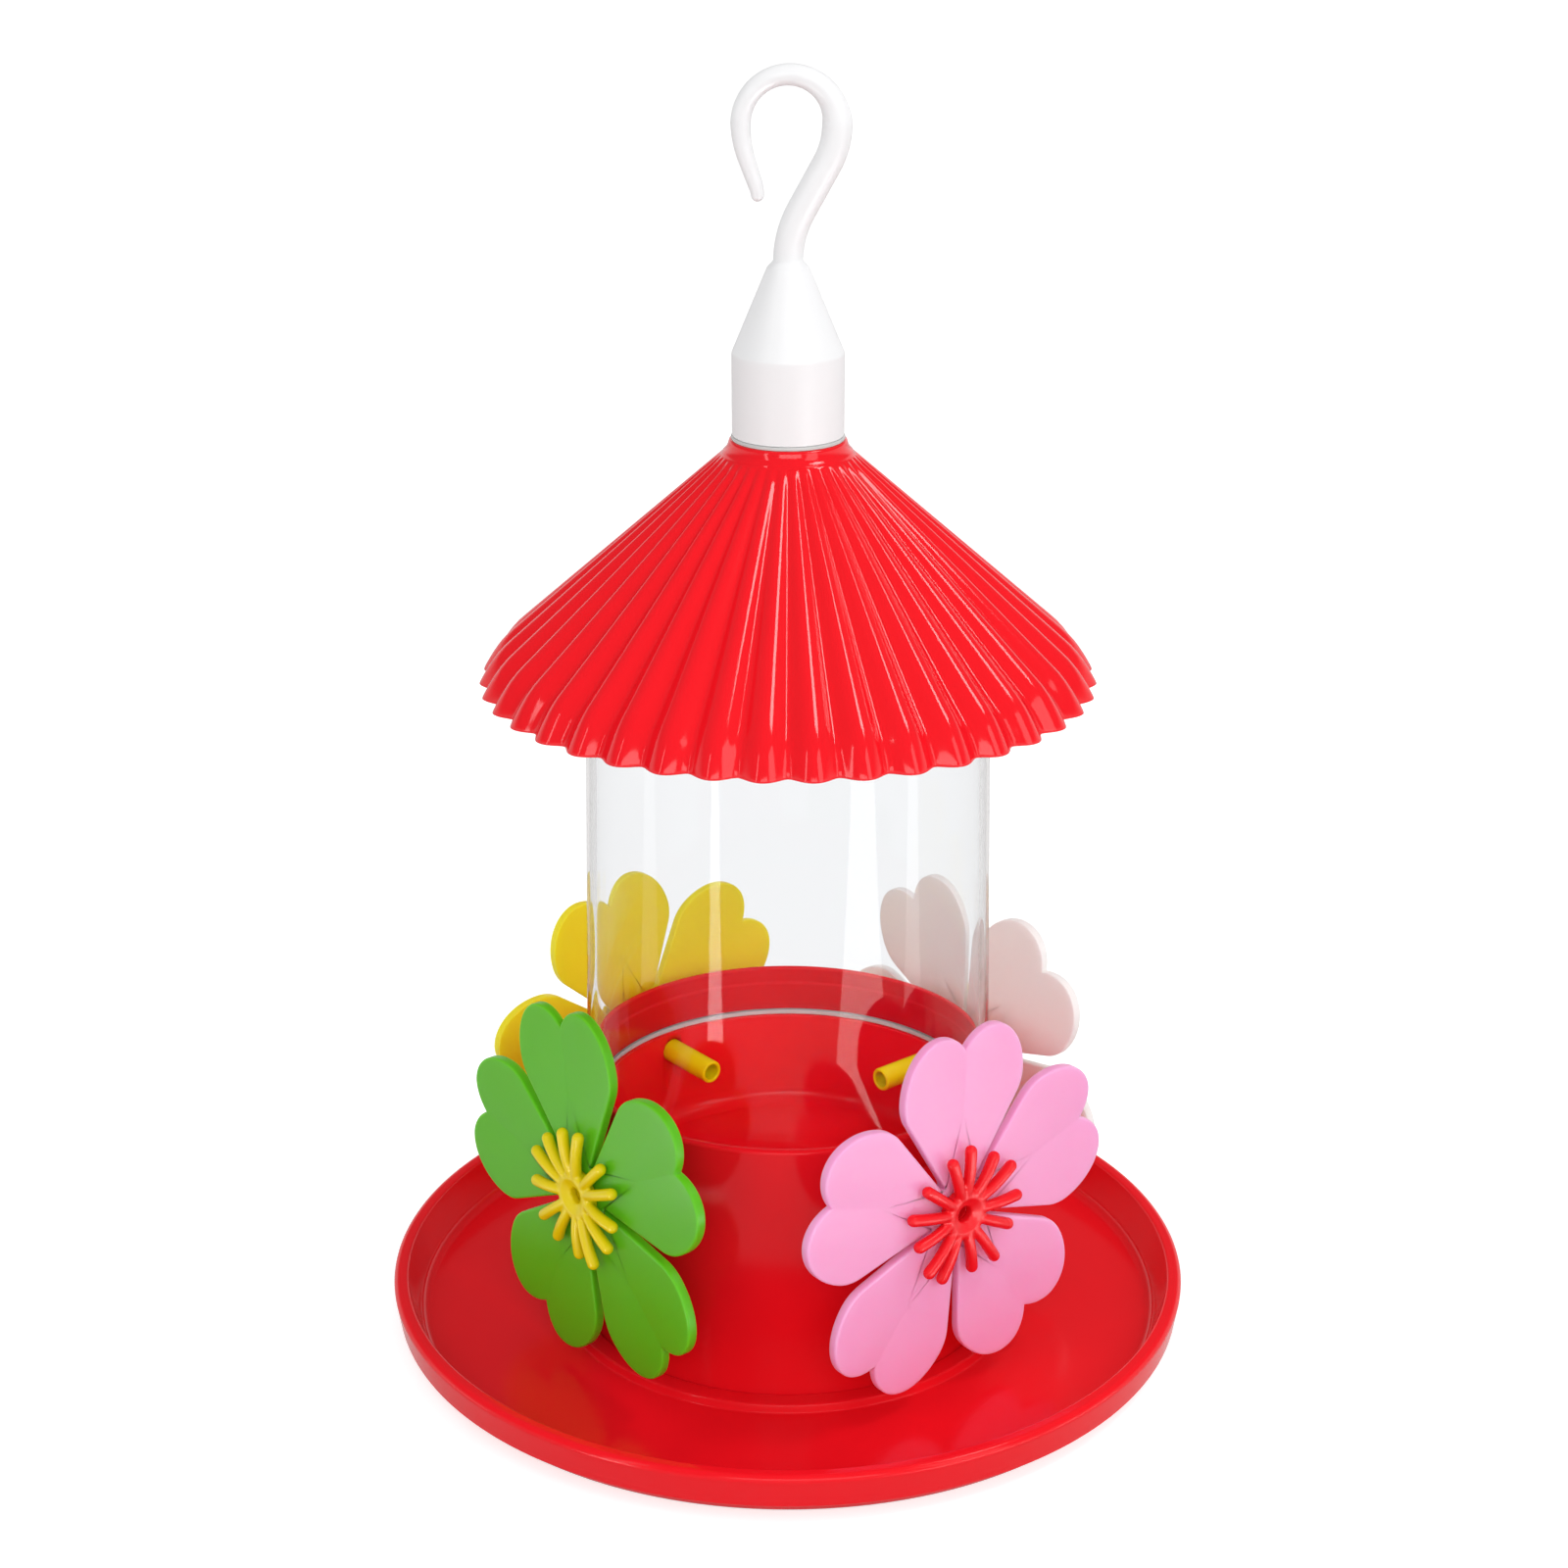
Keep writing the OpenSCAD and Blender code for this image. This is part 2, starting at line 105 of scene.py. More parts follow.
class FeederSizes(bpy.types.PropertyGroup):
    tray_radius: length("Tray radius", "Radius of the tray over its rim", TRAY_TOP.x)
    tray_height: length("Tray height", "Height of the tray's rim", TRAY_TOP.z)
    rim_width: length("Rim width", "Width of the tray's rounded rim", 3.4 * MM)
    cup_radius: length("Cup radius", "Outer radius of the nectar cup", 49.6 * MM)
    cup_height: length("Cup height", "Height of the cup's rim", CUP_TOP.z)
    boss_radius: length("Boss radius", "Radius of the boss behind each flower", 7.5 * MM)
    tank_radius: length("Reservoir radius", "Outer radius of the reservoir's mouth", TANK_TOP.x)
    tank_wall: length("Reservoir wall", "Thickness of the clear wall", 2.2 * MM)
    roof_wall: length("Roof wall", "Thickness of the roof", 1.8 * MM)
    flute_depth: length("Flute depth", "Depth of the roof's flutes at the eaves", 2.3 * MM)
    flutes: number_of("Flutes", "Number of flutes round the roof", 40, 8, 80)
    rod: length("Hook rod", "Radius of the hook's rod above the cone", 3.2 * MM)
    hook_tip: length("Hook tip", "Radius of the hook's tip", 1.42 * MM)
    petal: length("Petal thickness", "Thickness of the petals", 3 * MM)
    petal_edge: length("Petal edge", "Rounding of the petals' edge", 0.5 * MM)
    stamen: length("Stamen", "Radius of a stamen's rod", 1.4 * MM)
    stamens: number_of("Stamens", "Stamens on each flower", 13, 5, 20)


class FeederColours(bpy.types.PropertyGroup):
    red: colour("Red", "Tray, cup and roof", "#EE1420")
    clear: colour("Clear", "Tint of the reservoir", "#FCFDFE")
    white: colour("White", "Hanger", "#EFEFF0")
    seal: colour("Seal", "Seal and washer", "#ECECEA")
    green_petals: colour("Green petals", "Petals of the green flower", "#60BC18")
    pink_petals: colour("Pink petals", "Petals of the pink flower", "#F4A6D2")
    white_petals: colour("White petals", "Petals of the white flower", "#F6F4F0")
    yellow_petals: colour("Yellow petals", "Petals of the yellow flower", "#FBE42C")
    yellow_stamens: colour("Yellow stamens", "Stamens of three flowers", "#ECD408")
    red_stamens: colour("Red stamens", "Stamens of the pink flower", "#EE1420")


class FeederStudio(bpy.types.PropertyGroup):
    floor: length("Floor", "Width of the studio floor", 12)
    key: strength("Key light", "Power of the crisp softbox high on the right", 3.2, unit="POWER")
    front: strength("Front light", "Power of the wide softbox in front", 4.6, unit="POWER")
    right: strength("Right light", "Power of the tall softbox on the right", 2.4, unit="POWER")
    left: strength("Left light", "Power of the narrow softbox on the left", 1.1, unit="POWER")
    sky: strength("Surroundings", "Light from the white surroundings", 0.7)
    ceiling: strength("Ceiling", "Brightness of the ceiling in reflections", 0.18)


# Shapes. Helpers work in millimetres; a mesh is made in metres.

def rounded(corners, steps=6):
    """A closed outline whose corners (x, y, radius) are rounded by that radius."""
    outline = []
    for i, (x, y, radius) in enumerate(corners):
        p = Vector((x, y))
        back, ahead = Vector(corners[i - 1][:2]) - p, Vector(corners[(i + 1) % len(corners)][:2]) - p
        if radius <= 0:
            outline.append((x, y))
            continue
        half = back.angle(ahead) / 2
        reach = min(radius / math.tan(half), 0.49 * back.length, 0.49 * ahead.length)
        radius = reach * math.tan(half)
        back.normalize()
        ahead.normalize()
        middle = p + (back + ahead).normalized() * radius / math.sin(half)
        first, last = p + back * reach - middle, p + ahead * reach - middle
        start, turn = math.atan2(first.y, first.x), first.angle_signed(last)
        for k in range(steps + 1):
            a = start - turn * k / steps
            outline.append((middle.x + radius * math.cos(a), middle.y + radius * math.sin(a)))
    return outline


def lathe(outline, around=240):
    """A closed outline of (radius, height) turned round +Z."""
    verts, faces, rings = [], [], []
    for r, z in outline:
        if r < 1e-6:
            rings.append([len(verts)] * around)
            verts.append((0, 0, z))
            continue
        rings.append(range(len(verts), len(verts) + around))
        for k in range(around):
            a = 2 * math.pi * k / around
            verts.append((r * math.sin(a), -r * math.cos(a), z))
    for low, high in zip(rings, rings[1:] + rings[:1]):
        for k in range(around):
            face = list(dict.fromkeys((low[k], low[(k + 1) % around], high[(k + 1) % around], high[k])))
            if len(face) > 2:
                faces.append(face)
    return verts, faces


def sweep(points, radii, across, sides=16):
    """A rod along points that lie in a plane with the normal across, closed at both ends."""
    points = [Vector(p) for p in points]
    verts, faces = [], []
    across = Vector(across).normalized()
    for i, (p, r) in enumerate(zip(points, radii)):
        way = (points[min(i + 1, len(points) - 1)] - points[max(i - 1, 0)]).normalized()
        up = across.cross(way)
        for k in range(sides):
            a = 2 * math.pi * k / sides
            verts.append(p + r * (math.cos(a) * across + math.sin(a) * up))
    for i in range(len(points) - 1):
        for k in range(sides):
            n = (k + 1) % sides
            faces.append((i * sides + k, i * sides + n, (i + 1) * sides + n, (i + 1) * sides + k))
    faces.append(list(range(sides)))
    faces.append(list(range(len(verts) - sides, len(verts))))
    return verts, faces


def round_end(point, way, radius, steps=5):
    """Centres and radii of the rings that end a rod in a half ball."""
    rings = [(math.radians(88 * k / steps)) for k in range(1, steps + 1)]
    return [(Vector(point) + Vector(way) * radius * math.sin(b), radius * math.cos(b)) for b in rings]


def joined(*parts):
    """Several (verts, faces) as one."""
    verts, faces = [], []
    for part_verts, part_faces in parts:
        faces += [[i + len(verts) for i in face] for face in part_faces]
        verts += [tuple(v) for v in part_verts]
    return verts, faces


def at_port(angle, reach, spin=0):
    """Where a thing that stands on its own +Z axis looks out of the cup at a port, in millimetres."""
    return (
        Matrix.Rotation(math.radians(angle), 4, "Z") @ Matrix.Translation((0, -reach, PORT_Z))
        @ Matrix.Rotation(math.radians(90), 4, "X") @ Matrix.Rotation(math.radians(-spin), 4, "Z")
    )


def piece(name, shape, place=None):
    """A mesh object from (verts, faces) in millimetres, with its faces looking outwards."""
    mesh = bpy.data.meshes.new(name)
    place = place or Matrix.Identity(4)
    mesh.from_pydata([place @ Vector(v) * MM for v in shape[0]], [], shape[1])
    made = bmesh.new()
    made.from_mesh(mesh)
    bmesh.ops.remove_doubles(made, verts=made.verts, dist=1e-7)
    bmesh.ops.recalc_face_normals(made, faces=made.faces)
    made.to_mesh(mesh)
    made.free()
    obj = bpy.data.objects.new(name, mesh)
    bpy.context.scene.collection.objects.link(obj)
    return obj


def apply_modifiers(obj):
    """The object's mesh as its modifiers make it, with the modifiers gone."""
    shaped = bpy.data.meshes.new_from_object(obj.evaluated_get(bpy.context.evaluated_depsgraph_get()))
    obj.modifiers.clear()
    obj.data = shaped


def cut_or_join(obj, other, operation):
    """Joins another object to this one, or cuts it out of it, and drops the other."""
    modifier = obj.modifiers.new("shape", "BOOLEAN")
    modifier.operation, modifier.object, modifier.solver = operation, other, "EXACT"
    apply_modifiers(obj)
    bpy.data.objects.remove(other)


def smooth(obj):
    """Shades the piece smooth, and lets its large faces set the normals so that flats stay flat."""
    mesh = obj.data
    mesh.shade_smooth()
    normals = np.zeros((len(mesh.vertices), 3))
    areas = np.array([p.area for p in mesh.polygons])
    faces = np.array([p.normal[:] for p in mesh.polygons]) * areas[:, None]
    owner = np.repeat(np.arange(len(mesh.polygons)), [p.loop_total for p in mesh.polygons])
    corner = np.empty(len(mesh.loops), int)
    mesh.loops.foreach_get("vertex_index", corner)
    np.add.at(normals, corner, faces[owner])
    normals /= np.maximum(np.linalg.norm(normals, axis=1), 1e-12)[:, None]
    mesh.normals_split_custom_set_from_vertices(normals)


def fit(obj, node, body, material):
    """Gives the piece its finish and puts it in the place of its CAD node."""
    smooth(obj)
    obj.data.materials.clear()
    obj.data.materials.append(material)
    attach(obj, body)
    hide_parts(node)
    return obj


# Finishes

def add_node(tree, kind, inputs=None, **settings):
    """Adds a shader node, sets it up, and gives its inputs values or other nodes' outputs."""
    node = tree.nodes.new("ShaderNode" + kind)
    for name, value in settings.items():
        setattr(node, name, value)
    for name, value in (inputs or {}).items():
        if isinstance(value, bpy.types.NodeSocket):
            tree.links.new(value, node.inputs[name])
        else:
            node.inputs[name].default_value = value
    return node


def moulded_plastic(name, base, roughness, ior, peel_mm, peel_depth_mm, cloud=0.03, **shader):
    """A moulded plastic: a skin with a faint peel, gloss that varies, and colour that clouds a little."""
    material = bpy.data.materials.get(name)
    if material:
        return material
    material = bpy.data.materials.new(name)
    material.use_nodes = True
    material.diffuse_color = (*base, 1)
    tree = material.node_tree
    surface = tree.nodes["Principled BSDF"]
    place = add_node(tree, "TexCoord").outputs["Object"]
    # Noise repeats about once per 1/scale metres
    peel = add_node(tree, "TexNoise", {"Vector": place, "Scale": 1 / (peel_mm * MM), "Detail": 2.0})
    flow = add_node(
        tree, "TexNoise", {"Vector": place, "Scale": 1 / (28 * MM), "Detail": 3.0, "Roughness": 0.6}
    )
    shade = add_node(
        tree, "MapRange", {"Value": flow.outputs["Fac"], "To Min": 1 - cloud, "To Max": 1 + cloud}
    )
    tint = add_node(tree, "HueSaturation", {"Value": shade.outputs["Result"], "Color": (*base, 1)})
    gloss = add_node(
        tree, "MapRange",
        {"Value": flow.outputs["Fac"], "From Min": 0.3, "From Max": 0.7, "To Min": roughness * 0.85,
         "To Max": roughness * 1.15},
    )
    bump = add_node(
        tree, "Bump", {"Height": peel.outputs["Fac"], "Strength": 1.0, "Distance": peel_depth_mm * MM}
    )
    tree.links.new(tint.outputs["Color"], surface.inputs["Base Color"])
    tree.links.new(gloss.outputs["Result"], surface.inputs["Roughness"])
    tree.links.new(bump.outputs["Normal"], surface.inputs["Normal"])
    surface.inputs["IOR"].default_value = ior
    for socket, value in shader.items():
        surface.inputs[socket.replace("_", " ")].default_value = value
    return material


def red_polystyrene():
    """High-impact polystyrene from a polished tool: deep red under clean, slightly soft reflections."""
    return moulded_plastic(
        "polystyrene_polished_mould_red", bpy.context.scene.feeder_colours.red, 0.14, 1.59, 1.4, 0.003,
        Specular_IOR_Level=0.15,
    )


def bright_red_polystyrene():
    """The same plastic from a mirror-polished tool: crisp pale strips of light down the roof's flutes."""
    return moulded_plastic(
        "polystyrene_mirror_mould_red", bpy.context.scene.feeder_colours.red, 0.09, 1.59, 1.4, 0.002,
        Specular_IOR_Level=0.34,
    )


def white_polypropylene():
    """Polypropylene from a satin tool: white with a broad, dull shine."""
    base = bpy.context.scene.feeder_colours.white
    return moulded_plastic("polypropylene_satin_mould_white", base, 0.32, 1.49, 0.9, 0.006, 0.01)


def silicone():
    """Moulded silicone rubber: milky and matt."""
    return moulded_plastic(
        "silicone_moulded_milky", bpy.context.scene.feeder_colours.seal, 0.5, 1.41, 0.5, 0.01, 0.01,
        Transmission_Weight=0.3,
    )


def petal_vinyl(name):
    """Vinyl pressed in a fine satin tool: soft, even colour with a wide sheen."""
    base = getattr(bpy.context.scene.feeder_colours, name + "_petals")
    return moulded_plastic(
        f"vinyl_satin_mould_{name}", base, 0.36, 1.53, 0.6, 0.008, 0.025,
        Subsurface_Weight=1.0, Subsurface_Radius=(1, 1, 1), Subsurface_Scale=3 * MM, Specular_IOR_Level=0.22,
    )


def stamen_polyethylene(name):
    """Flexible polyethylene from a polished tool: waxy, with small bright highlights on each rod."""
    base = getattr(bpy.context.scene.feeder_colours, name + "_stamens")
    return moulded_plastic(
        f"polyethylene_polished_mould_{name}", base, 0.24, 1.51, 0.8, 0.004, 0.03, Specular_IOR_Level=0.25
    )


def clear_styrene():
    """Styrene acrylonitrile from a polished tool: water-clear, with long faint waves down the wall."""
    name = "styrene_acrylonitrile_polished_clear"
    material = bpy.data.materials.get(name)
    if material:
        return material
    material = bpy.data.materials.new(name)
    material.use_nodes = True
    tree = material.node_tree
    surface = tree.nodes["Principled BSDF"]
    place = add_node(tree, "TexCoord").outputs["Object"]
    # Waves about 30 mm wide and five times as long, from the melt's flow up the wall
    long = add_node(tree, "Mapping", {"Vector": place, "Scale": (1, 1, 0.2)})
    waves = add_node(
        tree, "TexNoise", {"Vector": long.outputs["Vector"], "Scale": 1 / (30 * MM), "Detail": 1.0}
    )
    bump = add_node(tree, "Bump", {"Height": waves.outputs["Fac"], "Strength": 1.0, "Distance": 0.03 * MM})
    haze = add_node(tree, "MapRange", {"Value": waves.outputs["Fac"], "To Min": 0.01, "To Max": 0.04})
    tree.links.new(bump.outputs["Normal"], surface.inputs["Normal"])
    tree.links.new(haze.outputs["Result"], surface.inputs["Roughness"])
    surface.inputs["Base Color"].default_value = (*bpy.context.scene.feeder_colours.clear, 1)
    # The body hardly bends the light, so that the wall shows as two plain bands; the shine is a thin coat's
    surface.inputs["IOR"].default_value = 1.03
    surface.inputs["Transmission Weight"].default_value = 1
    surface.inputs["Coat Weight"].default_value = 0.2
    surface.inputs["Coat Roughness"].default_value = 0.03
    surface.inputs["Coat IOR"].default_value = 1.57
    # Clear plastic casts hardly any shadow
    cast = add_node(tree, "LightPath").outputs["Is Shadow Ray"]
    shadow = add_node(tree, "Math", {0: cast, 1: -0.9, 2: 1.0}, operation="MULTIPLY_ADD")
    tree.links.new(shadow.outputs[0], surface.inputs["Alpha"])
    # The wall greys a little where the eye looks along it
    grey = add_node(tree, "VolumeAbsorption", {"Color": (0.86, 0.84, 0.83, 1), "Density": 45.0})
    tree.links.new(grey.outputs[0], tree.nodes["Material Output"].inputs["Volume"])
    return material


# Pieces. Heights and radii in millimetres, as the CAD solids have them.

FLOOR_Z = 2.2
PORT_Z = 48.8
PORT_REACH = 56.6
PORT_BORE = 2.88
PETAL_T = 3
PETAL_FACE = PORT_REACH + PETAL_T
# A feeding tube: its hole, its outside, and where its inner end is
BILL_R = 1.9
TUBE_R = 2.8
TUBE_END = 29
SEAT_Z = SEAL_LOW.z / MM
MOUTH_Z = SEAL_TOP.z / MM
INNER_R = 44.9
COLLAR_R = 12.9
SHOULDER_Z = ROOF_TOP.z / MM - 5
NECK_TOP = TANK_TOP.z / MM
NECK_R = 9
THREAD_R = 9.3


class FEEDER_OT_tray(bpy.types.Operator):
    """Build the perch tray: flat floor, low collar round the cup's foot, and a rounded rim"""
    bl_idname = "feeder.tray"
    bl_label = "Perch Tray"

    def execute(self, context):
        sizes = context.scene.feeder_sizes
        r, h, w = sizes.tray_radius / MM, sizes.tray_height / MM, sizes.rim_width / MM
        gap = 4
        foot = r - w - 2.4
        collar = 49.75
        outline = rounded([
            (0, 0, 0),
            (foot + 0.6, 0, 4.8),
            (r - w + 0.6, gap, 0.6),
            (r - 1.1, gap, 0.7),
            (r + 0.2, h, 1.6),
            (r - w, h, 0.9),
            (foot - 0.6, FLOOR_Z, 2.6),
            (collar + 5.0, FLOOR_Z, 0.5),
            (collar + 4.2, FLOOR_Z + 1.9, 0.6),
            (collar, FLOOR_Z + 1.9, 0.4),
            (collar, FLOOR_Z, 0),
            (0, FLOOR_Z, 0),
        ])
        fit(piece("tray_moulding", lathe(outline, 300)), "perch_tray", "base", red_polystyrene())
        return {"FINISHED"}


class FEEDER_OT_cup(bpy.types.Operator):
    """Build the nectar cup: pedestal, nectar floor, screw mouth and a bored boss for each flower"""
    bl_idname = "feeder.cup"
    bl_label = "Nectar Cup"

    def execute(self, context):
        sizes = context.scene.feeder_sizes
        r, top, boss = sizes.cup_radius / MM, sizes.cup_height / MM, sizes.boss_radius / MM
        mouth = 47.3
        lead = mouth + 0.4
        # The underside and the top of the nectar floor
        under, nectar = 27.6, 30
        cup = piece("cup_moulding", lathe(rounded([
            (0, under, 0),
            (r - 3.9, under, 1.5),
            (r - 2.4, FLOOR_Z, 0.2),
            (r, FLOOR_Z, 0.3),
            (r, top, 0.9),
            (lead, top, 0.5),
            (lead, top - 3.7, 0.15),
            (mouth, top - 4.2, 0.15),
            (mouth, SEAT_Z, 0.2),
            (INNER_R, SEAT_Z, 0.3),
            (INNER_R, nectar, 4),
            (0, nectar, 0),
        ]), 300))
        for angle, _, _ in FLOWERS.values():
            solid = lathe(rounded([
                (0, r - 1, 0), (boss + 1, r - 1, 0), (boss, r + 0.9, 1.2), (boss, PORT_REACH, 0.6),
                (0, PORT_REACH, 0),
            ]), 72)
            cut_or_join(cup, piece("boss", solid, at_port(angle, 0)), "UNION")
            inside, outside = INNER_R - 4, PORT_REACH + 2
            bore = lathe([(0, inside), (PORT_BORE, inside), (PORT_BORE, outside), (0, outside)], 48)
            cut_or_join(cup, piece("bore", bore, at_port(angle, 0)), "DIFFERENCE")
        fit(cup, "nectar_cup", "base", red_polystyrene())
        return {"FINISHED"}


class FEEDER_OT_reservoir(bpy.types.Operator):
    """Build the clear reservoir with its closed neck, and the seal that it stands on"""
    bl_idname = "feeder.reservoir"
    bl_label = "Reservoir and Seal"

    def execute(self, context):
        sizes = context.scene.feeder_sizes
        r, wall, seal_r = sizes.tank_radius / MM, sizes.tank_wall / MM, INNER_R + 0.9
        seal = rounded([
            (seal_r, SEAT_Z, 0.3), (r, SEAT_Z, 0.3), (r, MOUTH_Z, 0.3), (seal_r, MOUTH_Z, 0.3)
        ], 4)
        fit(piece("mouth_seal_ring", lathe(seal, 200)), "mouth_seal", "seal", silicone())
        # The side leans in by its draft up to a rounded shoulder
        side_top, draft = 172.7, math.radians(1.1)
        r_top = r - (side_top - MOUTH_Z) * math.tan(draft)
        shoulder = (COLLAR_R + 0.5, SHOULDER_Z - 1.6)
        shape = rounded([
            (r - wall, MOUTH_Z, 0.5),
            (r, MOUTH_Z, 0.5),
            (r_top, side_top - 3.4, 7),
            (*shoulder, 0.6),
            (COLLAR_R - 1, SHOULDER_Z, 0.2),
            (NECK_R, SHOULDER_Z, 0.3),
            (NECK_R, NECK_TOP, 1),
            (0, NECK_TOP, 0),
            (0, NECK_TOP - wall, 0),
            (NECK_R - wall, NECK_TOP - wall, 0.6),
            (NECK_R - wall, SHOULDER_Z - wall - 0.6, 1.0),
            (shoulder[0] - 0.9, shoulder[1] - wall, 0.5),
            (r_top - wall, side_top - 4.6, 5),
        ], 8)
        tank = piece("reservoir_moulding", lathe(shape))
        fit(tank, "reservoir", "reservoir", clear_styrene())
        return {"FINISHED"}


class FEEDER_OT_roof(bpy.types.Operator):
    """Build the fluted roof: a thin cone that is cut flat at the eaves, under a plain collar"""
    bl_idname = "feeder.roof"
    bl_label = "Roof"

    def execute(self, context):
        sizes = context.scene.feeder_sizes
        wall, depth, flutes = sizes.roof_wall / MM, sizes.flute_depth / MM, sizes.flutes
        top, eaves, rim = ROOF_TOP.z / MM, ROOF_LOW.z / MM, ROOF_TOP.x / MM - 0.05
        start_r, start_z = COLLAR_R + 1.1, top - 2.8
        # The crests run straight and droop a little over the last bit
        droop_w, droop_h = 6.7, 3.4
        # How broad and round the crests are beside the valleys
        blunt = 0.3
        slope = (start_z - eaves - droop_h) / (rim - start_r)

        def crest(r):
            """Height and slope of the crests at a radius."""
            droop = max(0, r - rim + droop_w) / droop_w
            z = start_z - (r - start_r) * slope - droop_h * droop ** 2
            return z, math.atan(slope + 2 * droop_h * droop / droop_w)

        def wave(a):
            """How far the face lies under the crests, from 0 on a broad round crest to 1 in a valley."""
            return 1 - (math.hypot(math.sin(a), blunt) - blunt) / (math.hypot(1, blunt) - blunt)

        def face(s, under, valley):
            """Radius and height of the fluted face, from the collar (0) to the eaves (1)."""
            steep = crest(rim)[1]
            end_r = rim - (depth * valley + under) / math.sin(steep)
            r = start_r + s * (end_r - start_r)
            z, lean = crest(r)
            fall = depth * min(1, 0.15 + s) * min(1, s / 0.05) * valley
            return r, (z - (fall + under) / math.cos(lean) if s < 1 else eaves)

        rows = [
            0.015, 0.03, 0.045, 0.06, 0.08, 0.14, 0.22, 0.35, 0.5, 0.65, 0.8, 0.86, 0.89, 0.92, 0.94, 0.96,
            0.975, 0.985,
        ]
        collar = [
            (THREAD_R, SHOULDER_Z), (THREAD_R, top - 0.3), (THREAD_R + 0.3, top), (COLLAR_R - 0.6, top),
            (COLLAR_R - 0.18, top - 0.18), (COLLAR_R, top - 0.6), (COLLAR_R + 0.08, top - 1.0),
            (COLLAR_R + 0.4, top - 1.7), (COLLAR_R + 0.75, top - 2.25), (COLLAR_R + 1.05, top - 2.5),
            (COLLAR_R + 1.3, top - 2.8), (COLLAR_R + 1.38, top - 3.1), (COLLAR_R + 1.6, top - 3.35),
        ]
        around = flutes * 16
        verts, faces = [], []
        for k in range(around):
            a = 2 * math.pi * k / around
            valley = wave(a * flutes / 2)
            section = collar + [face(s, 0, valley) for s in rows]
            # The edge is rounded between the outside and the flat cut
            outer, edge, inner = face(0.993, 0, valley), face(1, 0, valley), face(1, wall, valley)
            section += [outer, (edge[0] - 0.1, eaves + 0.12), (edge[0] - 0.3, eaves), (inner[0] + 0.2, eaves)]
            section += [face(s, wall, valley) for s in reversed(rows[9:])] + [(COLLAR_R - 1, SHOULDER_Z)]
            verts += [(r * math.sin(a), -r * math.cos(a), z) for r, z in section]
        size = len(section)
        for k in range(around):
            here, there = k * size, (k + 1) % around * size
            for j in range(size):
                n = (j + 1) % size
                faces.append((here + j, there + j, there + n, here + n))
        fit(piece("roof_moulding", (verts, faces)), "roof", "reservoir", bright_red_polystyrene())
        return {"FINISHED"}


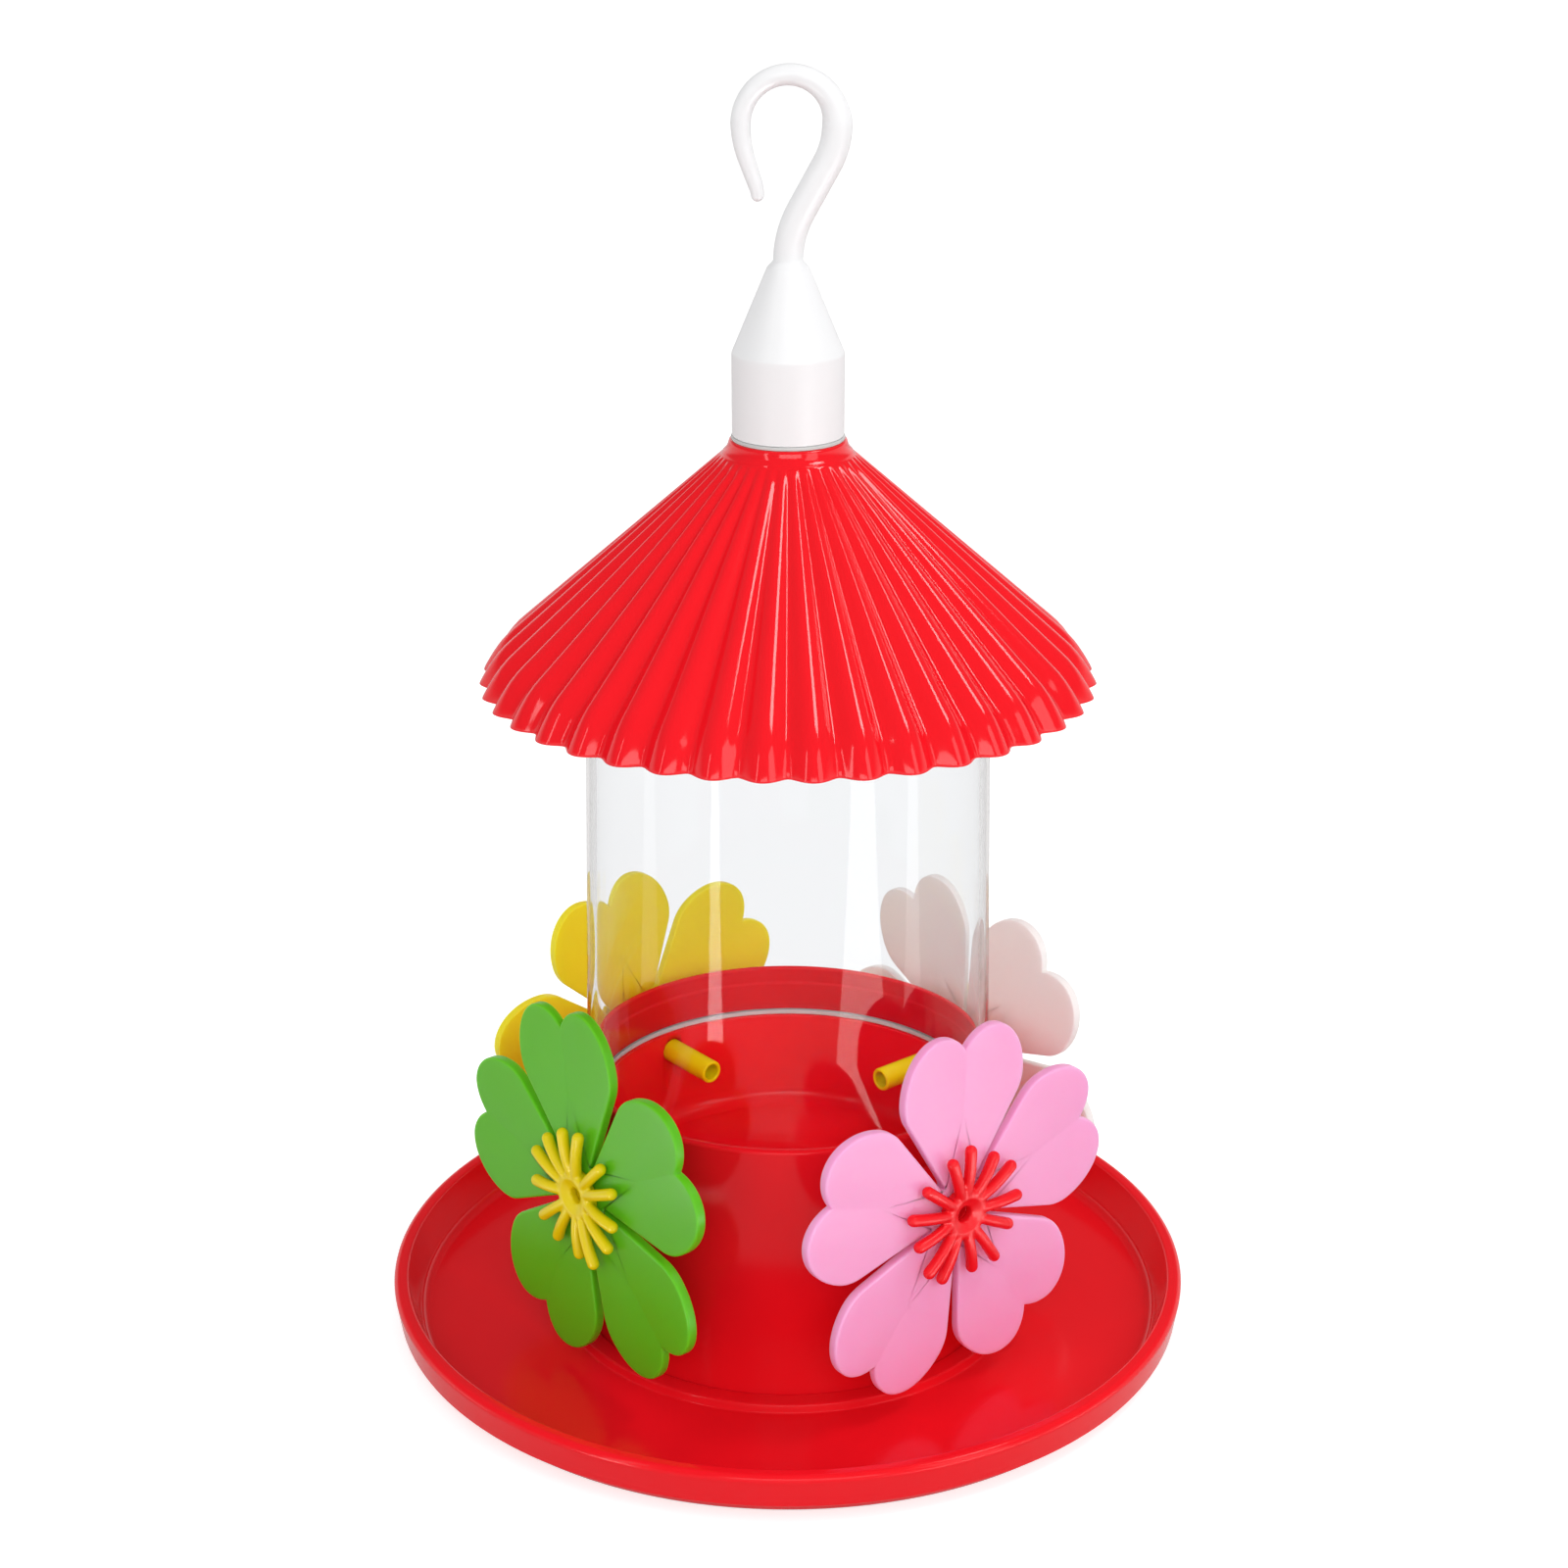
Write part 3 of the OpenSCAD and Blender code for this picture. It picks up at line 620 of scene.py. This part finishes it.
class FEEDER_OT_hanger(bpy.types.Operator):
    """Build the hanger, one moulding from skirt to hook tip, and the washer under it"""
    bl_idname = "feeder.hanger"
    bl_label = "Hanger and Washer"

    def execute(self, context):
        sizes = context.scene.feeder_sizes
        rod, tip_r = sizes.rod / MM, sizes.hook_tip / MM
        top = ROOF_TOP.z / MM
        skirt_z, washer_r = HANGER_LOW.z / MM, 12.35
        washer = rounded([
            (THREAD_R, top, 0.1), (washer_r, top, 0.25), (washer_r, skirt_z, 0.25), (THREAD_R, skirt_z, 0.1)
        ], 4)
        fit(piece("washer_ring", lathe(washer, 120)), "hanger_washer", "washer", silicone())

        # Skirt and cone, up to where the rod begins
        skirt_r, cone_z, stem_z = 12.15, skirt_z + 17.9, skirt_z + 37.3
        profile = rounded([
            (0, NECK_TOP + 0.3, 0),
            (THREAD_R, NECK_TOP + 0.3, 0.6),
            (THREAD_R, skirt_z, 0.4),
            (skirt_r, skirt_z, 0.4),
            (skirt_r, cone_z, 2.0),
            (4.5, stem_z - 1.1, 1.3),
            (3.45, stem_z - 0.05, 0.3),
            (rod, stem_z + 0.3, 0.3),
            (rod, stem_z + 0.8, 0),
        ], 7)
        # The hook's middle line in steps of length, turn to the right and number of points: a stem that
        # leans out in an S, a round bend and a tip that turns in
        lean, inward, bend_r, hook_r, rise = math.radians(29), math.radians(19), (22, 17), 10.05, 28.5
        straight = (rise - sum(bend_r) * math.sin(lean)) / math.cos(lean)
        steps = [
            (bend_r[0] * lean, lean, 12), (straight, 0, 6), (bend_r[1] * lean, -lean, 10),
            (hook_r * math.pi, -math.pi, 48), (22 * inward, -inward, 8), (5.6, 0, 6),
            (9 * inward * 0.74, inward * 0.74, 6),
        ]
        # The rod thins to this radius over the round bend, and from there on to its tip
        over = 2.15
        at, way, line, before = Vector((0, stem_z)), 0.0, [], sum(n for _, _, n in steps[:3])
        after = sum(n for _, _, n in steps[4:])
        for reach, turn, n in steps:
            for _ in range(n):
                i = len(line) - before
                r = rod if i < 0 else over + (rod - over) * max(0, 1 - i / 48) ** 3
                if i > 48:
                    r = over + (tip_r - over) * (i - 48) / after
                line.append((*at, r))
                half = turn / n / 2
                step = reach / n * (math.sin(half) / half if half else 1)
                at = at + step * Vector((math.sin(way + half), math.cos(way + half)))
                way += 2 * half
        line = [p for p in line if p[1] > stem_z + 1] + [(*at, tip_r)]
        rings = [(Vector((0, 0, z)), r, Vector((0, 0, 1))) for r, z in profile[1:-1]]
        points = [Vector((x, 0, z)) for x, z, _ in line]
        for i, (_, _, r) in enumerate(line):
            ahead = points[min(i + 1, len(points) - 1)] - points[max(i - 1, 0)]
            rings.append((points[i], r, ahead.normalized()))
        last = rings[-1]
        rings += [(p, r, last[2]) for p, r in round_end(last[0], last[2], last[1])]
        sides = 64
        verts, faces = [], []
        for p, r, ahead in rings:
            out = Vector((0, 1, 0)).cross(ahead)
            for k in range(sides):
                a = 2 * math.pi * k / sides
                verts.append(p + r * (math.cos(a) * out + math.sin(a) * Vector((0, 1, 0))))
        for j in range(len(rings) - 1):
            for k in range(sides):
                n = (k + 1) % sides
                faces.append((j * sides + k, j * sides + n, (j + 1) * sides + n, (j + 1) * sides + k))
        faces += [list(range(sides)), list(range(len(verts) - sides, len(verts)))]
        fit(piece("hanger_moulding", (verts, faces)), "hanger", "hanger", white_polypropylene())
        return {"FINISHED"}


def petal_outline():
    """The edge of one petal that points along +Y, from the gap on its right round to the gap on its left,
    and for each point whether it is a true edge."""
    # The right lobe's centre and radius, and how much taller its outer half is
    x, y, r, tall = 7.4, 30, 10.1, 1.3
    far = math.hypot(x, y)
    side = math.sqrt(far * far - r * r)
    half = math.atan2(x, y) + math.asin(r / far)
    share, hub, hole = math.radians(36), 8, PORT_BORE
    points = [(rr * math.sin(share), rr * math.cos(share), False) for rr in np.linspace(hole, hub, 6)[:-1]]
    points += [(hub * math.sin(a), hub * math.cos(a), True) for a in np.linspace(share, half, 4)[:-1]]
    points += [(rr * math.sin(half), rr * math.cos(half), True) for rr in np.linspace(hub, side, 24)[:-1]]
    # Round the lobe from where the side touches it to the notch
    first = math.atan2(side * math.cos(half) - y, side * math.sin(half) - x)
    notch = math.pi - math.acos(x / r)
    for a in np.linspace(first, notch, 44):
        points.append((x + r * math.cos(a), y + r * math.sin(a) * (tall if a > 0 else 1), True))
    points += [(-px, py, edge) for px, py, edge in reversed(points[:-1])]
    points += [(hole * math.sin(a), hole * math.cos(a), False) for a in np.linspace(-share, share, 9)[1:-1]]
    return points


def petals_shape(thick, edge, crease):
    """Five petals in one plate: flat, with rounded edges and a crease from each notch towards the middle."""
    outline = petal_outline()
    line = np.array([p[:2] for p in outline])
    true_edge = np.array([p[2] for p in outline])
    middle = np.array([0, 24.0])
    # Rows run from the middle of the petal to its edge, closer together near the edge
    near = [0, 0.07, 0.18, 0.34, 0.55, 0.85, 1.3, 2.0, 3.2]
    spoke = np.linalg.norm(line - middle, axis=1)
    rows = [line + (middle - line) * np.minimum(d / spoke, 0.5)[:, None] for d in near]
    inner = rows[-1]
    rows += [inner + (middle - inner) * t for t in (0.2, 0.4, 0.6, 0.8, 0.92)]
    segments = [(line[i], line[(i + 1) % len(line)]) for i in range(len(line))
                if true_edge[i] and true_edge[(i + 1) % len(line)]]
    a = np.array([s[0] for s in segments])
    ab = np.array([s[1] for s in segments]) - a

    def depth(points):
        """Each point's distance to the nearest true edge."""
        t = np.clip(((points[:, None] - a) * ab).sum(-1) / (ab * ab).sum(-1), 0, 1)
        return np.linalg.norm(points[:, None] - (a + t[..., None] * ab), axis=-1).min(1)

    def face(points, sign):
        """Heights of the front (1) or back (-1) of the plate."""
        d = depth(points)
        r = edge if sign > 0 else edge * 0.6
        fall = r - np.sqrt(np.maximum(r * r - (r - np.minimum(d, r)) ** 2, 0))
        if sign < 0:
            # A boss round the hole carries the plate, which is thinner further out
            return fall + 0.7 * np.clip((np.linalg.norm(points, axis=1) - 8) / 2, 0, 1)
        # The two halves of a petal lean towards a crease, which fades out near the middle of the flower
        fade = np.clip((points[:, 1] - 12) / 22, 0, 1)
        return thick - fall - crease * fade * np.clip(1 - np.abs(points[:, 0]) / 7, 0, 1)

    count = len(line)
    verts, faces = [], []
    for i in range(5):
        turn = 2 * math.pi * i / 5
        c, s = math.cos(turn), math.sin(turn)
        for sign in (1, -1):
            first = len(verts)
            for points in rows + [middle[None, :]]:
                z = face(points, sign)
                verts += [(x * c - y * s, x * s + y * c, zz) for (x, y), zz in zip(points, z)]
            for j in range(len(rows) - 1):
                low, high = first + j * count, first + (j + 1) * count
                for k in range(count):
                    n = (k + 1) % count
                    faces.append((low + k, low + n, high + n, high + k))
            low, centre = first + (len(rows) - 1) * count, first + len(rows) * count
            faces += [(low + k, low + (k + 1) % count, centre) for k in range(count)]
        front, back = len(verts) - 2 * (len(rows) * count + 1), len(verts) - (len(rows) * count + 1)
        hole = np.linalg.norm(line, axis=1) < 3
        for k in range(count):
            n = (k + 1) % count
            if (true_edge[k] and true_edge[n]) or (hole[k] and hole[n]):
                faces.append((front + k, front + n, back + n, back + k))
    return verts, faces


def stamens_shape(sizes):
    """The stamens of a flower on their disc, still to be melted together where they meet."""
    rod, count, disc = sizes.stamen / MM, sizes.stamens, 6.0
    parts = [lathe(rounded([
        (BILL_R, 0, 0.1), (disc, 0, 0.3), (disc, 2.9, 1.4), (4.2, 3.0, 0.8), (BILL_R, 1.9, 0.4)
    ], 4), 72)]
    for i in range(count):
        # Straight and low, with tips that differ a little in reach and height
        reach, up = 14.9 + 0.8 * math.sin(math.radians(137 * i)), 0.5 + 0.5 * math.cos(math.radians(97 * i))
        turn = math.radians((i + 0.12 * math.sin(math.radians(150 * i))) * 360 / count)
        path, radii = [], []
        for k in range(13):
            t = k / 12
            path.append(Vector((4 + (reach - 4) * t, 1.6 + up * t + 0.5 * math.sin(math.pi * t))))
            radii.append(rod * (0.9 + 0.1 * t))
        way = (path[-1] - path[-2]).normalized()
        for p, r in round_end(path[-1], way, radii[-1]):
            path.append(p)
            radii.append(r)
        spin = Matrix.Rotation(turn, 4, "Z")
        verts, faces = sweep([spin @ Vector((p.x, 0, p.y)) for p in path], radii, spin @ Vector((0, 1, 0)))
        parts.append((verts, faces))
    return joined(*parts)


class FEEDER_OT_petals(bpy.types.Operator):
    """Build the four plates of petals"""
    bl_idname = "feeder.petals"
    bl_label = "Petals"

    def execute(self, context):
        sizes = context.scene.feeder_sizes
        shape = petals_shape(sizes.petal / MM, sizes.petal_edge / MM, 0.35)
        for name, (angle, spin, _) in FLOWERS.items():
            plate = piece(f"{name}_petal_plate", shape, at_port(angle, PORT_REACH, spin))
            fit(plate, f"{name}_petals", f"{name}_flower", petal_vinyl(name))
        return {"FINISHED"}


class FEEDER_OT_stamens(bpy.types.Operator):
    """Build the stamens of each flower and the tube behind them that birds feed through"""
    bl_idname = "feeder.stamens"
    bl_label = "Stamens and Feeding Tubes"

    def execute(self, context):
        sizes = context.scene.feeder_sizes
        for name, (angle, _, spin) in FLOWERS.items():
            place = at_port(angle, PETAL_FACE, spin)
            crown = piece("crown", stamens_shape(sizes))
            remesh = crown.modifiers.new("melt", "REMESH")
            remesh.mode, remesh.voxel_size, remesh.use_smooth_shade = "VOXEL", 0.27 * MM, True
            soften = crown.modifiers.new("soften", "SMOOTH")
            soften.factor, soften.iterations = 0.5, 4
            apply_modifiers(crown)
            shape = ([v.co / MM for v in crown.data.vertices], [p.vertices[:] for p in crown.data.polygons])
            bpy.data.objects.remove(crown)
            colour_name = "red" if name == "pink" else "yellow"
            finish, slot, body = stamen_polyethylene(colour_name), f"{colour_name}_stamens", f"{name}_tube"
            fit(piece(f"{name}_stamen_crown", shape, place), f"{name}_stamens", body, finish)
            tube = lathe(rounded([
                (BILL_R, TUBE_END, 0.35), (TUBE_R, TUBE_END, 0.5), (TUBE_R, PETAL_FACE, 0.05),
                (BILL_R, PETAL_FACE, 0.05),
            ], 5), 64)
            pipe = piece(f"{name}_feeding_pipe", tube, at_port(angle, 0))
            fit(pipe, f"{name}_feeding_tube", body, finish)
        return {"FINISHED"}


def ray_kinds(tree):
    """1 or 0 each for rays straight from the camera, rays that only went through clear plastic, rays off a
    glossy surface, and rays that left a clear piece after a reflection inside it."""
    def math_node(operation, first, second):
        return add_node(tree, "Math", {0: first, 1: second}, operation=operation).outputs[0]

    path = add_node(tree, "LightPath").outputs
    bounced = math_node("MINIMUM", path["Glossy Depth"], 1.0)
    inside = math_node("MULTIPLY", path["Is Transmission Ray"], bounced)
    through = math_node("SUBTRACT", path["Is Transmission Ray"], inside)
    return path["Is Camera Ray"], through, path["Is Glossy Ray"], inside


def softbox(name, place, width, height, power):
    """A rectangular area lamp that still faces down."""
    data = bpy.data.lights.new(name, "AREA")
    data.shape, data.size, data.size_y, data.energy = "RECTANGLE", width, height, power
    lamp = bpy.data.objects.new(name, data)
    bpy.context.scene.collection.objects.link(lamp)
    lamp.location = place
    return lamp


class FEEDER_OT_studio(bpy.types.Operator):
    """Set up the white floor, the soft lights and the camera"""
    bl_idname = "feeder.studio"
    bl_label = "Studio"

    def execute(self, context):
        scene, studio = context.scene, context.scene.feeder_studio
        half = studio.floor / 2 / MM
        corners = [(-half, -half, 0), (half, -half, 0), (half, half, 0), (-half, half, 0)]
        floor = piece("studio_floor", (corners, [(0, 1, 2, 3)]))
        material = bpy.data.materials.new("paper_matt_white")
        material.use_nodes = True
        tree = material.node_tree
        surface = tree.nodes["Principled BSDF"]
        # Matt paper: grey enough to keep the object's shadow, and lifted to white where it is seen. Through
        # clear plastic it shows as plain white.
        place = add_node(tree, "TexCoord").outputs["Object"]
        fibre = add_node(tree, "TexNoise", {"Scale": 1 / (1.5 * MM), "Vector": place})
        bump = add_node(tree, "Bump", {"Height": fibre.outputs["Fac"], "Distance": 0.02 * MM})
        tree.links.new(bump.outputs["Normal"], surface.inputs["Normal"])
        surface.inputs["Base Color"].default_value = (0.68, 0.68, 0.68, 1)
        surface.inputs["Roughness"].default_value = 0.9
        surface.inputs["Specular IOR Level"].default_value = 0.0
        surface.inputs["Emission Color"].default_value = (1, 1, 1, 1)
        straight, through, glossy, _ = ray_kinds(tree)
        lift = 0.0
        for kind, amount in ((straight, 0.65), (glossy, 0.2)):
            lift = add_node(tree, "Math", {0: kind, 1: amount, 2: lift}, operation="MULTIPLY_ADD").outputs[0]
        tree.links.new(lift, surface.inputs["Emission Strength"])
        white = add_node(tree, "Emission", {"Color": (1, 1, 1, 1), "Strength": 1.0})
        shown = add_node(tree, "MixShader", {0: through, 1: surface.outputs[0], 2: white.outputs[0]})
        tree.links.new(shown.outputs[0], tree.nodes["Material Output"].inputs["Surface"])
        floor.data.materials.append(material)

        world = bpy.data.worlds.new("studio_white")
        scene.world = world
        world.use_nodes = True
        tree = world.node_tree
        tree.nodes.clear()
        # Plain white where it is seen, also through clear plastic, and a softer white where it lights a
        # surface. Reflections, also those inside clear pieces, show white walls up to 12 degrees above the
        # horizon, which fade into a dim ceiling by 24 degrees.
        way = add_node(tree, "TexCoord").outputs["Generated"]
        height = add_node(tree, "SeparateXYZ", {0: way}).outputs["Z"]
        walls = add_node(
            tree, "MapRange",
            {"Value": height, "From Min": 0.2, "From Max": 0.4, "To Min": 1.0, "To Max": studio.ceiling},
            interpolation_type="SMOOTHSTEP",
        )
        straight, through, glossy, inside = ray_kinds(tree)
        reflected = add_node(tree, "Math", {0: glossy, 1: inside}, operation="MAXIMUM")
        lit = add_node(
            tree, "Mix", {"Factor": reflected.outputs[0], "A": studio.sky, "B": walls.outputs["Result"]}
        )
        plain = add_node(tree, "Math", {0: straight, 1: through}, operation="MAXIMUM")
        level = add_node(tree, "Mix", {"Factor": plain.outputs[0], "A": lit.outputs["Result"], "B": 1.0})
        light = add_node(tree, "Background", {"Color": (1, 1, 1, 1), "Strength": level.outputs["Result"]})
        add_node(tree, "OutputWorld", {"Surface": light.outputs[0]})

        # Each softbox: place, the height on the axis that it faces, width, height and power
        softboxes = {
            "key": ((0.73, -0.14, 1.34), 0.15, 0.34, 0.34, studio.key),
            "front": ((0.1, -1.3, 0.75), 0.12, 1.0, 0.5, studio.front),
            "right": ((0.85, -0.75, 0.65), 0.12, 0.45, 0.9, studio.right),
            "left": ((-0.78, -0.8, 0.6), 0.12, 0.1, 0.9, studio.left),
        }
        for name, (place, aim, width, height, power) in softboxes.items():
            lamp = softbox(f"{name}_softbox", place, width, height, power)
            lamp.rotation_euler = (Vector((0, 0, aim)) - Vector(place)).to_track_quat("-Z", "Y").to_euler()

        # Four strips flat on the paper, that only reflections show: long pale bands down the clear wall.
        # Each points away from the part of the wall that faces half-way between the strip and the view.
        strips = {
            "far_left": (-84, 0.06, 0.25), "left": (-41, 0.035, 0.8), "right": (42, 0.11, 1.4),
            "far_right": (74, 0.05, 0.4),
        }
        # The clear wall's radius, how far beyond it the strips' middles lie, and their length
        wall, away, long = 0.047, 0.34, 0.46
        for name, (turn, width, power) in strips.items():
            turn = math.radians(turn)
            half = turn / 2
            x = wall * math.sin(half) + away * math.sin(turn)
            y = -wall * math.cos(half) - away * math.cos(turn)
            lamp = softbox(f"{name}_strip", (x, y, 0.001), width, long, power)
            lamp.rotation_euler = (math.pi, 0, turn)
            lamp.visible_camera = lamp.visible_diffuse = lamp.visible_transmission = False

        # The photograph's view, from a little above and dead ahead
        data = bpy.data.cameras.new("front_camera")
        data.lens, data.sensor_width = 65.25, 36
        camera = bpy.data.objects.new("front_camera", data)
        scene.collection.objects.link(camera)
        camera.location = (-0.00088, -0.600, 0.359)
        camera.rotation_euler = (math.radians(69.3), 0, 0)
        scene.camera = camera
        scene.view_settings.view_transform = "Standard"
        return {"FINISHED"}


OPERATORS = (
    FEEDER_OT_studio, FEEDER_OT_tray, FEEDER_OT_cup, FEEDER_OT_reservoir, FEEDER_OT_roof, FEEDER_OT_hanger,
    FEEDER_OT_petals, FEEDER_OT_stamens,
)


class FEEDER_PT_panel(bpy.types.Panel):
    """The feeder's sizes, colours and builders"""
    bl_idname = "FEEDER_PT_panel"
    bl_label = "Hummingbird Feeder"
    bl_space_type = "VIEW_3D"
    bl_region_type = "UI"
    bl_category = "Feeder"

    def draw(self, context):
        for title, group in (
            ("Sizes", context.scene.feeder_sizes),
            ("Colours", context.scene.feeder_colours),
            ("Studio", context.scene.feeder_studio),
        ):
            box = self.layout.box()
            box.label(text=title)
            for name in group.__annotations__:
                box.prop(group, name)
        for operator in OPERATORS:
            self.layout.operator(operator.bl_idname)


GROUPS = {"feeder_sizes": FeederSizes, "feeder_colours": FeederColours, "feeder_studio": FeederStudio}


def register():
    for made in (*GROUPS.values(), *OPERATORS, FEEDER_PT_panel):
        bpy.utils.register_class(made)
    for name, group in GROUPS.items():
        setattr(bpy.types.Scene, name, PointerProperty(type=group))


def unregister():
    for name in GROUPS:
        delattr(bpy.types.Scene, name)
    for made in (FEEDER_PT_panel, *reversed(OPERATORS), *reversed(tuple(GROUPS.values()))):
        bpy.utils.unregister_class(made)


def main():
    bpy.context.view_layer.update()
    register()
    for operator in OPERATORS:
        group, action = operator.bl_idname.split(".")
        getattr(getattr(bpy.ops, group), action)()


if __name__ == "__main__":
    main()
